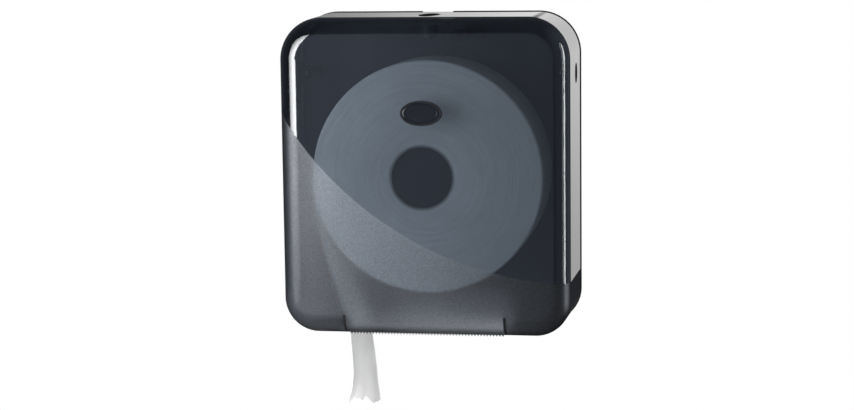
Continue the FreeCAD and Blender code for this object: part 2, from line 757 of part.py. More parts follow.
def makeHub():
    body = place(newBody("hub"), "spindleX", 0, "spindleZ")
    bore = "(postRadius + hubRunning)"
    sleeve = f"({bore} + hubWall)"
    seat = "(coreRadius - coreFit)"
    profile = newSketch(body, "hubProfile", "XY_Plane")
    polygon(profile, [(bore, f"-{hubRear}"), ("hubFlangeRadius", f"-{hubRear}"),
                      ("hubFlangeRadius", f"-({hubRear} + hubFlangeThick)"),
                      (sleeve, f"-({hubRear} + hubFlangeThick)"), (sleeve, f"-({hubFront} - hubWall)"),
                      (seat, f"-({hubFront} - hubWall)"), (seat, f"-{hubFront}"), (bore, f"-{hubFront}")])
    revolve(body, "hubTurned", profile)
    document.recompute()
    ribSketch = newSketch(body, "hubRibProfile", "XY_Plane", "-hubWall / 2")
    inner = f"({sleeve} - hubWall / 2)"
    rear = f"-({hubRear} + hubFlangeThick / 2)"
    front = f"-({hubFront} - hubWall / 2)"
    polygon(ribSketch, [(inner, rear), (seat, rear), (seat, front), (inner, front)])
    rib = feature(body, "Pad", "hubRib", ribSketch, "hubWall")
    document.recompute()
    pattern(body, "hubRibs", rib, "hubRibCount")
    keep(body, "hub")
    washer = ring("washerRing", "washerRadius", "hubScrewRadius + screwFit", "washerThick", "front",
                  "spindleX", f"-{postEnd}", "spindleZ")
    keep(washer, "hub_washer")
    keep(screw("hubScrew", "back", "spindleX", f"-({postEnd} + washerThick)", "spindleZ",
               "hubScrewReach", "hubScrewRadius"), "hub_screw")


def makeRoll():
    core = ring("coreTube", "coreRadius + coreWall", "coreRadius", rollWidth, "front",
                "spindleX", f"-{rollRear}", "spindleZ")
    keep(core, "roll_core")
    body = place(newBody("paperRoll"), "spindleX", 0, "spindleZ")
    outline = newSketch(body, "rollOutline", "XZ_Plane", rollRear)
    circle(outline, "rollShiftX", "rollShiftZ", "rollRadius")
    wound = feature(body, "Pad", "rollPad", outline, rollWidth)
    document.recompute()
    roundEdges(body, "rollEdges", wound, lambda edge: edge.Length > number("rollRadius"), "rollEdge")
    document.recompute()
    mouth = newSketch(body, "rollMouth", "XZ_Plane", rollFront)
    circle(mouth, 0, 0, "coreRadius + coreWall + windingGap")
    feature(body, "Pocket", "rollBore", mouth, rollWidth)
    document.recompute()
    keep(body, "paper_roll")


def sheetSection(frontX, rearX, frontZ, rearZ):
    # an upright quad across the roll's width, as thick as the sheet, with both edges' places given
    thick = number("sheetThick")
    front, rear = -number(rollFront), -number(rollRear)
    corners = [FreeCAD.Vector(frontX, front, frontZ), FreeCAD.Vector(frontX + thick, front, frontZ),
               FreeCAD.Vector(rearX + thick, rear, rearZ), FreeCAD.Vector(rearX, rear, rearZ)]
    return Part.makePolygon(corners + corners[:1])


def makeSheets():
    # the loose paper leaves the roll at its left and bows down to the left end of the exit
    startDrop = number("sheetStart")
    reach = number("rollRadius")
    startX = number(rollX) - math.sqrt(reach ** 2 - startDrop ** 2) - number("softGap") - number("sheetThick")
    startZ = number(rollZ) - startDrop
    endX, endZ = -number("exitSheetX"), -number(f"{bottomAtExit} - coverWall")
    stations = sizes["sheetStations"]
    web = []
    for index in range(stations):
        share = index / (stations - 1)
        bow = 4 * number("sheetBow") * share * (1 - share)
        x = startX + (endX - startX) * share - bow
        z = startZ + (endZ - startZ) * share
        web.append(sheetSection(x, x + number("exitTwist") * share ** 2, z, z))
    tailTop = endZ - number("softGap")
    tail = [sheetSection(endX, endX + number("exitTwist"), tailTop, tailTop),
            sheetSection(-number("tailEdgeX"), number("tailTwist - tailEdgeX"),
                         endZ - number("tailDropFront"), endZ - number("tailDropBack"))]
    for label, sections, ruled in (("paper_web", web, False), ("paper_tail", tail, True)):
        item = document.addObject("Part::Feature", label.replace("_", ""))
        item.Shape = Part.makeLoft(sections, True, ruled)
        keep(item, label)


# Lock

def makeLock():
    flangeLow = f"({lockSeat} - lockFlangeThick)"
    flange = block("lockFlange", ("-lockFlangeLength / 2", "-(lockDepth + lockFlangeWidth / 2)", flangeLow),
                   ("lockFlangeLength / 2", "-(lockDepth - lockFlangeWidth / 2)", lockSeat))
    tubeLength = f"{plugTop} - {lockFoot}"
    tube = rod("lockTube", "lockHoleRadius - buttonGap", tubeLength, "up", 0, "-lockDepth", lockFoot)
    headFloor = f"({plugTop} - plugHeadThick)"
    tools = [rod("plugBore", "plugRadius + plugRunning", tubeLength, "up", 0, "-lockDepth", lockFoot),
             rod("plugHeadBore", "plugHeadRadius + plugRunning", "plugHeadThick + overrun", "up",
                 0, "-lockDepth", f"{headFloor} - plugRunning")]
    screws = []
    for sideName, side in sides.items():
        x = f"{side} * lockScrewSpan / 2"
        tools.append(rod(f"flangeHole{sideName}", "screwRadius + screwFit", "lockFlangeThick", "up",
                         x, "-lockDepth", flangeLow))
        screws.append(screw(f"lockScrew{sideName}", "up", x, "-lockDepth", flangeLow,
                            "lockFlangeThick + lockBossDrop / 2"))
    keep(cut("lockHousingCut", fuse("lockHousingWhole", flange, tube), *tools), "lock_housing")
    group("lock_screws", screws)

    head = rod("plugHead", "plugHeadRadius", "plugHeadThick - 2 * plugRunning", "up",
               0, "-lockDepth", headFloor)
    stem = rod("plugStem", "plugRadius", f"{headFloor} - {camTop}", "up", 0, "-lockDepth", camTop)
    slotFloor = f"{plugTop} - keySlotDepth"
    slot = block("keySlot", ("-keySlotWidth / 2", "-(lockDepth + keySlotLength / 2)", slotFloor),
                 ("keySlotWidth / 2", "-(lockDepth - keySlotLength / 2)", f"{plugTop} + overrun"))
    pilot = rod("plugPilot", "screwRadius + screwFit", "screwReach", "up", 0, "-lockDepth", camTop)
    keep(cut("plugCut", fuse("plugWhole", head, stem), slot, pilot), "lock_plug")

    camLow = f"({camTop} - camThick)"
    camDisc = rod("camDisc", "lockHoleRadius - camGap", "camThick", "up", 0, "-lockDepth", camLow)
    camArm = block("camArm", ("-camWidth / 2", "-lockDepth", camLow),
                   ("camWidth / 2", "-lockDepth + camReach", camTop))
    camHole = rod("camHole", "screwRadius + screwFit", "camThick", "up", 0, "-lockDepth", camLow)
    keep(cut("camCut", fuse("camWhole", camDisc, camArm), camHole), "lock_cam")
    keep(screw("camScrew", "up", 0, "-lockDepth", camLow, "camThick + screwReach / 2"), "lock_cam_screw")

    # the keeper's lip stands in front of the cam's arm when the arm points to the right
    body = place(newBody("lockKeeper"), 0, 0, f"{keeperZ} - keeperHeight / 2")
    outline = newSketch(body, "keeperOutline", "XY_Plane")
    near = keeperLegX
    far = f"({near} + keeperThick)"
    lipRear = "-(lockDepth + camWidth / 2 + keeperGap)"
    lipFront = f"({lipRear} - keeperThick)"
    footEnd = f"({far} + keeperFoot)"
    polygon(outline, [(near, "-plateThick"), (near, lipRear), (f"{near} - keeperLip", lipRear),
                      (f"{near} - keeperLip", lipFront), (far, lipFront), (far, f"-{footFront}"),
                      (footEnd, f"-{footFront}"), (footEnd, "-plateThick")])
    solid = feature(body, "Pad", "keeperPad", outline, "keeperHeight")
    document.recompute()
    holes = newSketch(body, "keeperHoles", "XZ_Plane", footFront)
    places = [place for place in keeperScrewPlaces() if place[0].startswith("lock")]
    for name, x, z in places:
        circle(holes, x, "keeperHeight / 2", "screwRadius + screwFit")
    feature(body, "Pocket", "keeperHoleCut", holes, "keeperFootThick + overrun")
    keep(body, "lock_keeper")
    group("lock_keeper_screws", [screw(name, "back", x, f"-{footFront}", z, footScrewReach)
                                 for name, x, z in places])


# Catch buttons

def windingPoints(radius, pitch, turns):
    # places along a helix round the Z axis, so many to a turn
    steps = sizes["coilSteps"]
    points = []
    for index in range(int(turns * steps) + 1):
        angle = 2 * math.pi * index / steps
        lift = pitch * index / steps
        points.append(FreeCAD.Vector(radius * math.cos(angle), radius * math.sin(angle), lift))
    return points


def leastGap(points, wire):
    # the free room between neighbouring turns, from each point to all that are half a turn on or more
    half = sizes["coilSteps"] // 2
    return min(first.distanceToPoint(second) for index, first in enumerate(points)
               for second in points[index + half:]) - wire


def coil(name, side):
    # round wire wound along X between the sleeve's floor and the button, as quarter turns of one pipe
    radius, wire = number("springRadius"), number("springWire")
    start = number(f"{sleeveEnd} + sleeveWall") + wire
    end = number(f"{buttonFace} - buttonThick") - wire
    turns = number("springTurns")
    points = windingPoints(radius, (end - start) / turns, turns)
    print(f"{name}: least gap between turns {leastGap(points, wire):.2f} mm")
    line = Part.BSplineCurve()
    line.interpolate(points)
    quarters = int(4 * turns)
    reach = (line.LastParameter - line.FirstParameter) / quarters
    edges = [line.toShape(line.FirstParameter + reach * index, line.FirstParameter + reach * (index + 1))
             for index in range(quarters)]
    section = Part.Wire(Part.makeCircle(wire / 2, FreeCAD.Vector(radius, 0, 0), directions["back"]))
    item = document.addObject("Part::Feature", name)
    item.Shape = Part.Wire(edges).makePipeShell([section], True, False)
    turn = FreeCAD.Rotation(directions["up"], directions["right" if side > 0 else "left"])
    base = FreeCAD.Vector(side * start, -number("catchDepth"), number("catchHeight"))
    item.Placement = FreeCAD.Placement(base, turn)
    return item


def makeCatch(sideName, side):
    x = f"{side} * ({buttonFace} - buttonThick)"
    cap = rod(f"buttonCap{sideName}", "buttonRadius", "buttonThick", sideName,
              x, "-catchDepth", "catchHeight")
    stem = rod(f"buttonStem{sideName}", "stemRadius", f"{buttonFace} - buttonThick - {hookFace}", sideName,
               f"{side} * {hookFace}", "-catchDepth", "catchHeight")
    pilot = rod(f"buttonPilot{sideName}", "screwRadius + screwFit", "screwReach", sideName,
                f"{side} * {hookFace}", "-catchDepth", "catchHeight")
    whole = fuse(f"buttonWhole{sideName}", cap, stem)
    keep(cut(f"buttonCut{sideName}", whole, pilot), f"catch_button_{sideName}")

    low, high = spread(side, f"{hookFace} - hookThick", hookFace)
    bottom, top = "catchHeight - hookHeight / 2", "catchHeight + hookHeight / 2"
    bar = block(f"hookBar{sideName}", (low, "-(catchDepth + hookHeight / 2)", bottom),
                (high, f"-{noseRear}", top))
    noseLow, noseHigh = spread(side, f"{hookFace} - hookThick / 2", noseTip)
    nose = block(f"hookNose{sideName}", (noseLow, f"-({noseRear} + noseLength)", bottom),
                 (noseHigh, f"-{noseRear}", top))
    x = f"{side} * ({hookFace} - hookThick)"
    hole = rod(f"hookHole{sideName}", "screwRadius + screwFit", "hookThick", sideName,
               x, "-catchDepth", "catchHeight")
    keep(cut(f"hookCut{sideName}", fuse(f"hookWhole{sideName}", bar, nose), hole), f"catch_hook_{sideName}")
    keep(screw(f"hookScrew{sideName}", sideName, x, "-catchDepth", "catchHeight",
               "hookThick + screwReach / 2"), f"catch_hook_screw_{sideName}")
    keep(coil(f"spring{sideName}", side), f"catch_spring_{sideName}")

    # the keeper's lip stands in front of the nose
    legLow, legHigh = spread(side, catchLegX, f"{catchLegX} + hookThick")
    lipRear = f"({noseRear} + noseLength + noseGap)"
    lipLow, lipHigh = spread(side, f"{noseTip} - catchEngage", catchLegX)
    footLow, footHigh = spread(side, f"{catchLegX} - catchFootLength", catchLegX)
    lipFront = f"-({lipRear} + catchLipThick)"
    pieces = [block(f"catchLeg{sideName}", (legLow, lipFront, bottom), (legHigh, "-plateThick", top)),
              block(f"catchLip{sideName}", (lipLow, lipFront, bottom), (lipHigh, f"-{lipRear}", top)),
              block(f"catchFoot{sideName}", (footLow, f"-{footFront}", bottom),
                    (footHigh, "-plateThick", top))]
    name, x, z = [place for place in keeperScrewPlaces() if place[0].endswith(sideName)][0]
    hole = rod(f"catchFootHole{sideName}", "screwRadius + screwFit", "keeperFootThick", "back",
               x, f"-{footFront}", z)
    whole = fuse(f"catchKeeperWhole{sideName}", *pieces)
    keep(cut(f"catchKeeperCut{sideName}", whole, hole), f"catch_keeper_{sideName}")
    keep(screw(f"catchKeeperHold{sideName}", "back", x, f"-{footFront}", z, footScrewReach),
         f"catch_keeper_screw_{sideName}")


makeCover()
makeTearBar()
makeBadge()
makeBackPlate()
makeHingePins()
makeSpindle()
makeHub()
makeRoll()
makeSheets()
makeLock()
for sideName, side in sides.items():
    makeCatch(sideName, side)
document.recompute()


# Every object must be sound, and every cut must have taken something away

for item in document.Objects:
    if "Invalid" in item.State or "Error" in item.State:
        raise RuntimeError(f"{item.Name} failed: {item.State}")
    if item.TypeId == "PartDesign::Pocket" and item.Shape.Volume >= item.BaseFeature.Shape.Volume:
        raise RuntimeError(f"{item.Name} cuts nothing")

os.makedirs("parts", exist_ok=True)
for item in subParts:
    if item.Shape.isNull() or not item.Shape.isValid():
        raise RuntimeError(f"{item.Label} has no sound shape")
    item.Shape.exportStep(f"parts/{item.Label}.step")
    print(f"{item.Label}: {len(item.Shape.Solids)} solid(s), {item.Shape.Volume:.0f} cubic mm")
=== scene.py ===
import bpy
import json
import math
from mathutils import Matrix, Vector


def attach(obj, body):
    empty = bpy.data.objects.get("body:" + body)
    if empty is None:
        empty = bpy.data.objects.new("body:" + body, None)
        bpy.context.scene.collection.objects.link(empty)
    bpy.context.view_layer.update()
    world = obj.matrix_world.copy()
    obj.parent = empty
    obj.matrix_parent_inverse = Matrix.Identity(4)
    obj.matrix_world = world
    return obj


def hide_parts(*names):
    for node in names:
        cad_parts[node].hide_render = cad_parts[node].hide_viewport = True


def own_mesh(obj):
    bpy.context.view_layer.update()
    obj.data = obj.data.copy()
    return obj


# Smoked jumbo roll dispenser: looks, light and camera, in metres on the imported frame

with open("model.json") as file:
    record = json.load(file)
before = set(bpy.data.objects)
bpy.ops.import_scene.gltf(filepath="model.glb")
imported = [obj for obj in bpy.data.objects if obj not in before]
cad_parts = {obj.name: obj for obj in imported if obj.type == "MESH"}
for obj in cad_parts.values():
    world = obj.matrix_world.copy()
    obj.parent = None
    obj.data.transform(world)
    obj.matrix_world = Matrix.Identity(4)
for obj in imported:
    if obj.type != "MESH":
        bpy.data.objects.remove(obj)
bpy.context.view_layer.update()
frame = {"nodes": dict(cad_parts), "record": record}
print("frame loaded:", len(frame["nodes"]), "nodes")

# camera

view = {
    "place": (0.4244, -2.5111, 0.3022),
    "turn": 9.97,      # degrees to the left of straight on
    "tilt": -7.84,     # degrees above level
    "roll": -0.72,
    "lens": 87.18,     # both in mm
    "film": 36,
}


def addCamera():
    data = bpy.data.cameras.new("camera")
    data.lens = view["lens"]
    data.sensor_width = view["film"]
    camera = bpy.data.objects.new("camera", data)
    bpy.context.collection.objects.link(camera)
    turned = Matrix.Rotation(math.radians(view["turn"]), 4, "Z")
    tilted = Matrix.Rotation(math.radians(90 + view["tilt"]), 4, "X")
    rolled = Matrix.Rotation(math.radians(view["roll"]), 4, "Z")
    camera.matrix_world = Matrix.Translation(view["place"]) @ turned @ tilted @ rolled
    bpy.context.scene.camera = camera


# node helpers, shared by all the materials

def newMaterial(name):
    material = bpy.data.materials.new(name)
    material.use_nodes = True
    tree = material.node_tree
    tree.nodes.clear()
    output = tree.nodes.new("ShaderNodeOutputMaterial")
    return material, tree, output


def feed(tree, socket, value):
    # a link from another node's output, or else a plain value
    if isinstance(value, bpy.types.NodeSocket):
        tree.links.new(value, socket)
    else:
        socket.default_value = value


def node(tree, kind, settings=None, **inputs):
    item = tree.nodes.new("ShaderNode" + kind)
    for name, value in (settings or {}).items():
        setattr(item, name, value)
    for name, value in inputs.items():
        feed(tree, item.inputs[name.replace("_", " ")], value)
    return item


def maths(tree, operation, first, second=0.0):
    item = tree.nodes.new("ShaderNodeMath")
    item.operation = operation
    feed(tree, item.inputs[0], first)
    feed(tree, item.inputs[1], second)
    return item.outputs[0]


def plus(tree, first, second):
    return maths(tree, "ADD", first, second)


def minus(tree, first, second):
    return maths(tree, "SUBTRACT", first, second)


def times(tree, first, second):
    return maths(tree, "MULTIPLY", first, second)


def ramp(tree, value, low, high, start=0.0, end=1.0, smooth=True):
    item = node(tree, "MapRange", {"interpolation_type": "SMOOTHSTEP" if smooth else "LINEAR"},
                Value=value, From_Min=low, From_Max=high, To_Min=start, To_Max=end)
    return item.outputs[0]


def blend(tree, share, start, end):
    # a number that goes evenly from start to end with the share
    return ramp(tree, share, 0.0, 1.0, start, end, False)


def steps(tree, value, points):
    # straight lines through the points
    total = points[0][1]
    for (start, low), (end, high) in zip(points, points[1:]):
        if high != low:
            total = plus(tree, total, ramp(tree, value, start, end, 0.0, high - low, False))
    return total


def mixColours(tree, share, first, second, blendType="MIX"):
    item = tree.nodes.new("ShaderNodeMix")
    item.data_type = "RGBA"
    item.blend_type = blendType
    feed(tree, item.inputs[0], share)
    feed(tree, item.inputs[6], first)
    feed(tree, item.inputs[7], second)
    return item.outputs[2]


def mixShaders(tree, share, first, second):
    item = node(tree, "MixShader", None, Fac=share)
    tree.links.new(first, item.inputs[1])
    tree.links.new(second, item.inputs[2])
    return item.outputs[0]


def grey(tree, value):
    return node(tree, "CombineColor", None, Red=value, Green=value, Blue=value).outputs[0]


def toned(colour, share):
    # the same colour, darker or paler
    return tuple(min(1, part * share) for part in colour) + (1,)


def objectCoordinates(tree, centre=None, scale=None):
    place = tree.nodes.new("ShaderNodeTexCoord").outputs["Object"]
    if centre or scale:
        mapping = node(tree, "Mapping", None, Vector=place)
        size = scale or (1, 1, 1)
        mapping.inputs["Scale"].default_value = size
        mapping.inputs["Location"].default_value = [-c * s for c, s in zip(centre or (0, 0, 0), size)]
        place = mapping.outputs[0]
    return place


def parts(tree, vector):
    return node(tree, "SeparateXYZ", None, Vector=vector).outputs


def noise(tree, place, scale, detail=3.0, roughness=0.5):
    item = node(tree, "TexNoise", None, Vector=place, Scale=scale, Detail=detail, Roughness=roughness)
    return item.outputs["Fac"]


def bumped(tree, height, strength, distance):
    return node(tree, "Bump", None, Height=height, Strength=strength, Distance=distance).outputs[0]


def squaredLength(tree, first, second):
    return plus(tree, times(tree, first, first), times(tree, second, second))


# smoked plastic: polished above a large arc, frosted below it

arc = {
    "centre": (0.187, 0.2932),     # X and Z
    "radius": 0.4175,
    "softness": 0.0004,
}

pad = {                            # frosted oval round the lock, with painted shade: seen through nearly black, and with a fifth of the sheen
    "middle": -0.066,
    "across": 0.0122,
    "inward": 0.030,
    "floor": 0.181,
    "rimFrom": (0.90, 1.0),
    "tint": (0.04, 0.042, 0.045, 1),
    "paintedSheenShare": 0.2,
}

ribs = {                           # painted shade: dark lines on the wall over the ribs beside the paper exit, where the sheen is painted weaker too
    "across": ((-0.0980, -0.0949), (0.0952, 0.0984)),
    "top": -0.1645,
    "rear": -0.1060,
    "tint": (0.12, 0.105, 0.10, 1),
    "paintedSheenShare": 0.52,
}

paintedExitGlow = {                           # painted glow: between the ribs and towards the exit the wall is given a near-clear tint, standing in for light that comes in through the exit
    "upFrom": (-0.184, -0.150),
    "shares": (0.10, 1.0),         # at the left rib, at the right rib
    "tint": (0.95, 0.97, 1.0, 1),
}

paintedMilkyGlow = {                           # painted glow too: the frosted body there is partly the wall's own scattering and partly painted glow; share at each X and at each Z
    "across": ((-0.128, 0.40), (-0.112, 0.12), (-0.05, 0.08), (-0.01, 1.0), (0.07, 1.15), (0.095, 1.0),
               (0.115, 0.06)),
    "up": ((-0.196, 0.30), (-0.180, 0.50), (-0.160, 1.0), (-0.140, 0.45), (-0.124, 0.0)),
    "shares": (0.045, 0.16),       # least and most of the frosted body; above the least it is painted glow
    "colour": (0.30, 0.32, 0.36, 1),
}

polish = {
    "index": 1.52,
    "tint": (0.535, 0.564, 0.590, 1),
    "roughness": 0.014,
    "wornShare": 1.8,              # how much rougher the worn patches are
    "wear": (9.0, 4.0),            # scale and detail
    "wearFrom": (0.35, 0.75),
    "paintedMirrorShares": ((-0.1735, 0.30), (-0.168, 1.0)),   # painted reflection: less mirrored on the flat of the left wall, set by place
}

frost = {
    "index": 1.42,
    "blur": 0.37,
    "tint": (0.540, 0.566, 0.594, 1),
    "fine": (1150.0, 2.0, 0.6),    # scale, detail and roughness of the grain
    "coarse": (460.0, 2.0, 0.6),
    "coarseShare": 0.7,
    "bump": (0.5, 0.00006),        # strength and depth
    "speckleFrom": (0.60, 1.10),
    "speckleShares": (0.76, 1.20),
    "sheen": (0.86, 0.88, 0.92, 1),
    "sheenRoughness": 0.47,
    "mirrorGain": 1.3,
    "mirrorMost": 0.061,
    # painted highlight: share of the sheen at each X, set by place so that it fades over the left rounding
    # and towards the right, away from the light
    "paintedSheenShares": ((-0.164, 0.84), (-0.154, 0.76), (-0.136, 0.96), (0.02, 1.0), (0.100, 0.45),
                    (0.150, 0.22), (0.166, 0.22), (0.172, 1.4)),
}

wall = {
    "edgeTint": (0.060, 0.065, 0.078, 1),      # where a wall is seen at a slant
    "edgeFrom": (0.25, 0.92),
    "edgeBlend": 0.5,
    "frontLight": (0.80, 0.84, 0.88, 1),       # how lamplight passes through the front
    "sideLight": (0.46, 0.48, 0.51, 1),        # and through the side and top walls
    "sideFrom": -0.116,                        # Y where these walls begin
}


def arcMask(tree, split):
    # 0 in the polished field, 1 in the frosted one
    across = minus(tree, split["X"], arc["centre"][0])
    upward = minus(tree, split["Z"], arc["centre"][1])
    reach = maths(tree, "SQRT", squaredLength(tree, across, upward))
    return ramp(tree, reach, arc["radius"] - arc["softness"], arc["radius"] + arc["softness"])


def padMask(tree, split):
    # 1 in the oval round the lock
    across = maths(tree, "DIVIDE", split["X"], pad["across"])
    inward = maths(tree, "DIVIDE", minus(tree, split["Y"], pad["middle"]), pad["inward"])
    top = maths(tree, "GREATER_THAN", split["Z"], pad["floor"])
    oval = ramp(tree, squaredLength(tree, across, inward), *pad["rimFrom"], 1.0, 0.0)
    return times(tree, oval, top)


def within(tree, value, low, high):
    return times(tree, maths(tree, "GREATER_THAN", value, low), maths(tree, "LESS_THAN", value, high))


def ribMask(tree, split):
    # 1 on the two ribs
    left, right = [within(tree, split["X"], low, high) for low, high in ribs["across"]]
    below = maths(tree, "LESS_THAN", split["Z"], ribs["top"])
    ahead = maths(tree, "LESS_THAN", split["Y"], ribs["rear"])
    return times(tree, plus(tree, left, right), times(tree, below, ahead))


def paintedGlowMask(tree, split):
    # painted glow: rises towards the exit, only between the ribs
    left, right = ribs["across"][0][1], ribs["across"][1][0]
    down = ramp(tree, split["Z"], *paintedExitGlow["upFrom"], 1.0, 0.0)
    across = ramp(tree, split["X"], left, right, *paintedExitGlow["shares"], False)
    return times(tree, within(tree, split["X"], left, right), times(tree, down, across))


def mirrorShare(tree):
    # what a face mirrors, the same from outside as from within the wall
    inside = tree.nodes.new("ShaderNodeNewGeometry").outputs["Backfacing"]
    index = blend(tree, inside, polish["index"], 1 / polish["index"])
    return node(tree, "Fresnel", None, IOR=index).outputs[0]


def polishedShader(tree, place, split, deep, mirror):
    seen = mixColours(tree, deep, polish["tint"], wall["edgeTint"])
    clear = node(tree, "BsdfTransparent", None, Color=seen).outputs[0]
    worn = ramp(tree, noise(tree, place, *polish["wear"]), *polish["wearFrom"], polish["roughness"],
                polish["roughness"] * polish["wornShare"])
    shine = node(tree, "BsdfGlossy", None, Color=(1, 1, 1, 1), Roughness=worn).outputs[0]
    # painted reflection: the mirrored share is cut on the flat of the left wall
    share = times(tree, mirror, steps(tree, split["X"], polish["paintedMirrorShares"]))
    return mixShaders(tree, share, clear, shine)


def frostedShader(tree, place, split, deep, mirror, lockPad):
    coarse = noise(tree, place, *frost["coarse"])
    height = plus(tree, noise(tree, place, *frost["fine"]), times(tree, coarse, frost["coarseShare"]))
    normal = bumped(tree, height, *frost["bump"])
    speckle = grey(tree, ramp(tree, height, *frost["speckleFrom"], *frost["speckleShares"], False))
    rib = ribMask(tree, split)
    # bare: the painted glow between the ribs, towards the exit and the right rib
    bare = paintedGlowMask(tree, split)

    tint = mixColours(tree, bare, frost["tint"], paintedExitGlow["tint"])
    # painted shade: the dark tints over the ribs and over the oval round the lock
    tint = mixColours(tree, lockPad, mixColours(tree, rib, tint, ribs["tint"]), pad["tint"])
    slantOutsideGlow = times(tree, deep, minus(tree, 1.0, bare))
    tint = mixColours(tree, 1.0, mixColours(tree, slantOutsideGlow, tint, wall["edgeTint"]), speckle, "MULTIPLY")
    blurred = node(tree, "BsdfRefraction", None, Color=tint, Roughness=frost["blur"], IOR=frost["index"],
                   Normal=normal).outputs[0]

    # painted glow: a diffuse body, strongest above the exit
    body = node(tree, "BsdfDiffuse", None, Color=paintedMilkyGlow["colour"], Normal=normal).outputs[0]
    spread = times(tree, steps(tree, split["X"], paintedMilkyGlow["across"]), steps(tree, split["Z"], paintedMilkyGlow["up"]))
    paintedGlowShare = times(tree, spread, minus(tree, 1.0, rib))
    hazed = mixShaders(tree, blend(tree, paintedGlowShare, *paintedMilkyGlow["shares"]), blurred, body)

    # painted highlight: the sheen's strength by place, lowered over the ribs
    paintedSheenFade = steps(tree, split["X"], frost["paintedSheenShares"])
    lit = times(tree, paintedSheenFade, blend(tree, rib, 1.0, ribs["paintedSheenShare"]))
    glint = mixColours(tree, 1.0, frost["sheen"], grey(tree, lit), "MULTIPLY")
    glint = mixColours(tree, 1.0, glint, speckle, "MULTIPLY")
    sheen = node(tree, "BsdfGlossy", {"distribution": "BECKMANN"}, Color=glint,
                 Roughness=frost["sheenRoughness"], Normal=normal).outputs[0]
    most = blend(tree, lockPad, frost["mirrorMost"], frost["mirrorMost"] * pad["paintedSheenShare"])
    share = maths(tree, "MINIMUM", times(tree, mirror, frost["mirrorGain"]), most)
    return mixShaders(tree, share, hazed, sheen)


def smokedMaterial():
    material, tree, output = newMaterial("smokedPlastic")
    place = objectCoordinates(tree)
    split = parts(tree, place)
    lockPad = padMask(tree, split)
    slant = node(tree, "LayerWeight", None, Blend=wall["edgeBlend"]).outputs["Facing"]
    deep = ramp(tree, slant, *wall["edgeFrom"])
    mirror = mirrorShare(tree)
    polished = polishedShader(tree, place, split, deep, mirror)
    frosted = frostedShader(tree, place, split, deep, mirror, lockPad)
    seen = mixShaders(tree, maths(tree, "MAXIMUM", arcMask(tree, split), lockPad), polished, frosted)

    path = tree.nodes.new("ShaderNodeLightPath").outputs
    lamplight = maths(tree, "MAXIMUM", path["Is Shadow Ray"], path["Is Diffuse Ray"])
    side = maths(tree, "GREATER_THAN", split["Y"], wall["sideFrom"])
    passed = mixColours(tree, side, wall["frontLight"], wall["sideLight"])
    straight = node(tree, "BsdfTransparent", None, Color=passed).outputs[0]
    tree.links.new(mixShaders(tree, lamplight, seen, straight), output.inputs["Surface"])
    return material


# moulded plastics

plastics = {
    "blackPlastic": {"colour": (0.015, 0.018, 0.026), "roughness": 0.50, "grain": 900.0, "depth": 0.00001,
                     "gloss": 0.36},
    "hubPlastic": {"colour": (0.006, 0.009, 0.016), "roughness": 0.60, "grain": 900.0, "depth": 0.00002,
                   "gloss": 0.15},
    "rimPlastic": {"colour": (0.010, 0.0115, 0.0140), "roughness": 0.34, "grain": 700.0, "depth": 0.000010,
                   "gloss": 0.22},
    "badgePlastic": {"colour": (0.008, 0.010, 0.014), "roughness": 0.15, "grain": 700.0, "depth": 0.000004,
                     "gloss": 0.20},
    "barPlastic": {"colour": (0.030, 0.032, 0.036), "roughness": 0.38, "grain": 900.0, "depth": 0.00003,
                   "gloss": 0.5},
}

moulding = {
    "grain": (3.0, 0.6),           # detail and roughness
    "grainFrom": (0.3, 0.7),
    "bumpStrength": 0.5,
    "roughShares": (0.88, 1.12),
    "cloud": (18.0, 4.0),
    "cloudFrom": (0.3, 0.7),
    "darkShare": 0.82,
    "paleShare": 1.25,
    "paleLift": 0.004,
}


def mouldedMaterial(name):
    values = plastics[name]
    material, tree, output = newMaterial(name)
    place = objectCoordinates(tree)
    fine = noise(tree, place, values["grain"], *moulding["grain"])
    cloud = ramp(tree, noise(tree, place, *moulding["cloud"]), *moulding["cloudFrom"])
    pale = tuple(part * moulding["paleShare"] + moulding["paleLift"] for part in values["colour"]) + (1,)
    shade = mixColours(tree, cloud, toned(values["colour"], moulding["darkShare"]), pale)
    low, high = [values["roughness"] * share for share in moulding["roughShares"]]
    rough = ramp(tree, fine, *moulding["grainFrom"], low, high)
    normal = bumped(tree, fine, moulding["bumpStrength"], values["depth"])
    shader = node(tree, "BsdfPrincipled", None, Base_Color=shade, Roughness=rough,
                  Specular_IOR_Level=values["gloss"], Normal=normal)
    tree.links.new(shader.outputs[0], output.inputs["Surface"])
    return material


# plated and coated steel

steels = {
    "platedSteel": (0.50, 0.66),   # darkest and palest grey
    "coatedSteel": (0.035, 0.060),
}

steelFinish = {
    "blueShares": (1.04, 1.02),
    "brushed": (700.0, 3.0),
    "brushedScale": (1, 8, 1),
    "brushedFrom": (0.3, 0.7),
    "roughness": (0.26, 0.42),
    "spots": (120.0, 5.0),
    "spotsFrom": (0.35, 0.65),
    "bump": (0.3, 0.00002),
}


def steelMaterial(name):
    material, tree, output = newMaterial(name)
    brushed = noise(tree, objectCoordinates(tree, scale=steelFinish["brushedScale"]), *steelFinish["brushed"])
    spots = noise(tree, objectCoordinates(tree), *steelFinish["spots"])
    dark, pale = [(tone, tone, tone * blue, 1) for tone, blue in zip(steels[name], steelFinish["blueShares"])]
    shade = mixColours(tree, ramp(tree, spots, *steelFinish["spotsFrom"]), dark, pale)
    rough = ramp(tree, brushed, *steelFinish["brushedFrom"], *steelFinish["roughness"])
    shader = node(tree, "BsdfPrincipled", None, Base_Color=shade, Metallic=1.0, Roughness=rough,
                  Normal=bumped(tree, brushed, *steelFinish["bump"]))
    tree.links.new(shader.outputs[0], output.inputs["Surface"])
    return material


# paper

